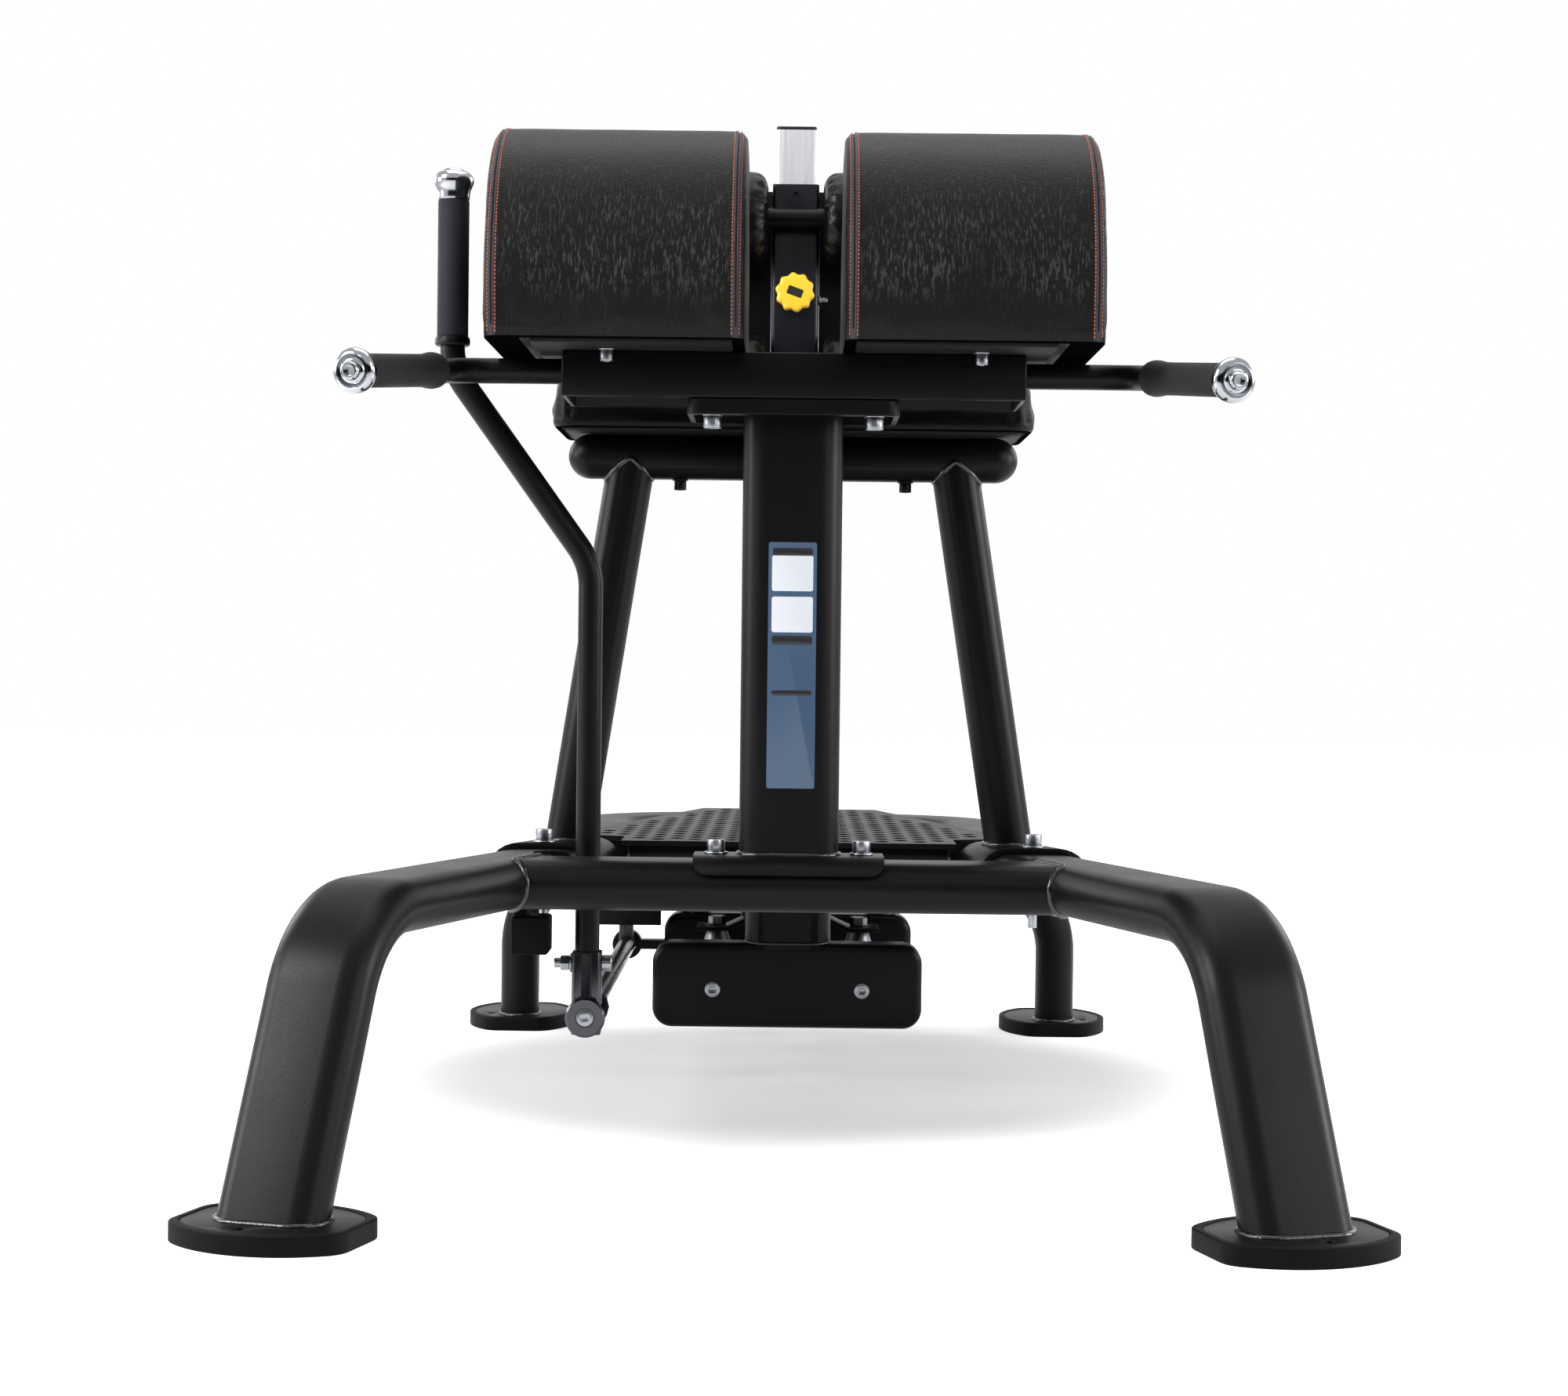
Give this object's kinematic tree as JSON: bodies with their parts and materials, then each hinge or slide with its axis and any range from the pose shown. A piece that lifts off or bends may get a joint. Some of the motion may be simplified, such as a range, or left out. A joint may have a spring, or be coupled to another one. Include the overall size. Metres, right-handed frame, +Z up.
{
  "type": "glute ham developer",
  "caption": "Bench with split hip pads, a kneeling pad, a perforated step plate and a post that carries ankle rollers and a footplate, freed by a side lever.",
  "frame": {"origin": "on the floor, at the middle of the box round the whole machine", "axes": "+X to the right of a person who faces the hip pads from the handle end, +Y from the hip pads to the ankle rollers, +Z up"},
  "size_m": [1.0356, 1.5258, 1.157],
  "materials": {
    "black_paint": "satin black powder coat",
    "foot_rubber": "matt black rubber",
    "pad_leather": "black leather with a fine grain",
    "board": "black painted board",
    "grip_rubber": "matt dark grey rubber",
    "chrome": "bright chrome",
    "zinc": "zinc plated steel",
    "bearing_metal": "satin aluminium",
    "post_steel": "brushed along its length",
    "cap_plastic": "matt black",
    "knob_plastic": "yellow, half gloss"
  },
  "bodies": {
    "frame": {"left_side_tube": "black_paint", "right_side_tube": "black_paint", "foot_front_left": "foot_rubber", "foot_front_right": "foot_rubber", "foot_rear_left": "foot_rubber", "foot_rear_right": "foot_rubber", "rear_bow": "black_paint", "front_cross_tube": "black_paint", "middle_cross_tube": "black_paint", "column": "black_paint", "column_screw_left": "zinc", "column_screw_right": "zinc", "pad_bracket": "black_paint", "hip_board_left": "board", "hip_board_right": "board", "hip_pad_left": "pad_leather", "hip_pad_right": "pad_leather", "handle_tube_left": "black_paint", "handle_tube_right": "black_paint", "handle_grip_left": "grip_rubber", "handle_grip_right": "grip_rubber", "handle_cap_left": "chrome", "handle_cap_right": "chrome", "a_frame": "black_paint", "kneeling_board": "board", "kneeling_pad": "pad_leather", "step_plate": "black_paint", "rear_leg_left": "black_paint", "rear_leg_right": "black_paint", "front_slide_block": "black_paint", "rear_slide_block": "black_paint", "guide_rod_left": "chrome", "guide_rod_right": "chrome", "rod_screw_left": "zinc", "rod_screw_right": "zinc", "shaft_hanger": "black_paint", "lever_stop": "foot_rubber", "lock_bracket": "black_paint"},
    "carriage": {"bearing_left": "bearing_metal", "bearing_right": "bearing_metal", "carriage_frame": "black_paint", "index_bar": "zinc", "post": "post_steel", "post_cap": "cap_plastic"},
    "leg_holder": {"sleeve": "black_paint", "footplate": "black_paint", "axle_upper": "black_paint", "axle_lower": "black_paint"},
    "upper_left_roller": {"roller_upper_left": "pad_leather"},
    "upper_right_roller": {"roller_upper_right": "pad_leather"},
    "lower_left_roller": {"roller_lower_left": "pad_leather"},
    "lower_right_roller": {"roller_lower_right": "pad_leather"},
    "pull_pin": {"pull_pin": "zinc", "pull_knob": "knob_plastic"},
    "lever": {"lever_tube": "black_paint", "lever_grip": "grip_rubber", "lever_cap": "chrome", "torsion_shaft": "zinc", "clevis_bolt": "zinc"},
    "lock_pin": {"lock_pin": "zinc"}
  },
  "joints": [
    {"name": "carriage_slide", "type": "slide", "parent": "frame", "child": "carriage", "axis": [0, 1, 0], "range_m": [-0.1, 0.05]},
    {"name": "leg_holder_slide", "type": "slide", "parent": "carriage", "child": "leg_holder", "axis": [0, 0, 1], "range_m": [-0.1, 0.05]},
    {"name": "pull_pin_slide", "type": "slide", "parent": "leg_holder", "child": "pull_pin", "axis": [0, -1, 0], "range_m": [0, 0.01], "stiffness_N_per_m": 800, "springref_m": -0.01},
    {"name": "upper_left_roller_spin", "type": "hinge", "parent": "leg_holder", "child": "upper_left_roller", "pos_m": [-0.125, 0.398, 1.039], "axis": [1, 0, 0], "continuous": true},
    {"name": "upper_right_roller_spin", "type": "hinge", "parent": "leg_holder", "child": "upper_right_roller", "pos_m": [0.125, 0.398, 1.039], "axis": [1, 0, 0], "continuous": true},
    {"name": "lower_left_roller_spin", "type": "hinge", "parent": "leg_holder", "child": "lower_left_roller", "pos_m": [-0.125, 0.398, 0.841], "axis": [1, 0, 0], "continuous": true},
    {"name": "lower_right_roller_spin", "type": "hinge", "parent": "leg_holder", "child": "lower_right_roller", "pos_m": [0.125, 0.398, 0.841], "axis": [1, 0, 0], "continuous": true},
    {"name": "lever_swing", "type": "hinge", "parent": "frame", "child": "lever", "pos_m": [-0.207, 0, 0.124], "axis": [0, -1, 0], "range_deg": [0, 13.5], "stiffness_Nm_per_rad": 10, "springref_deg": -17.19},
    {"name": "lock_pin_slide", "type": "slide", "parent": "frame", "child": "lock_pin", "axis": [-1, 0, 0], "range_m": [0, 0.0145]}
  ],
  "couplings": [
    {"joint": "lock_pin_slide", "follows": "lever_swing", "m_per_rad": 0.061}
  ]
}
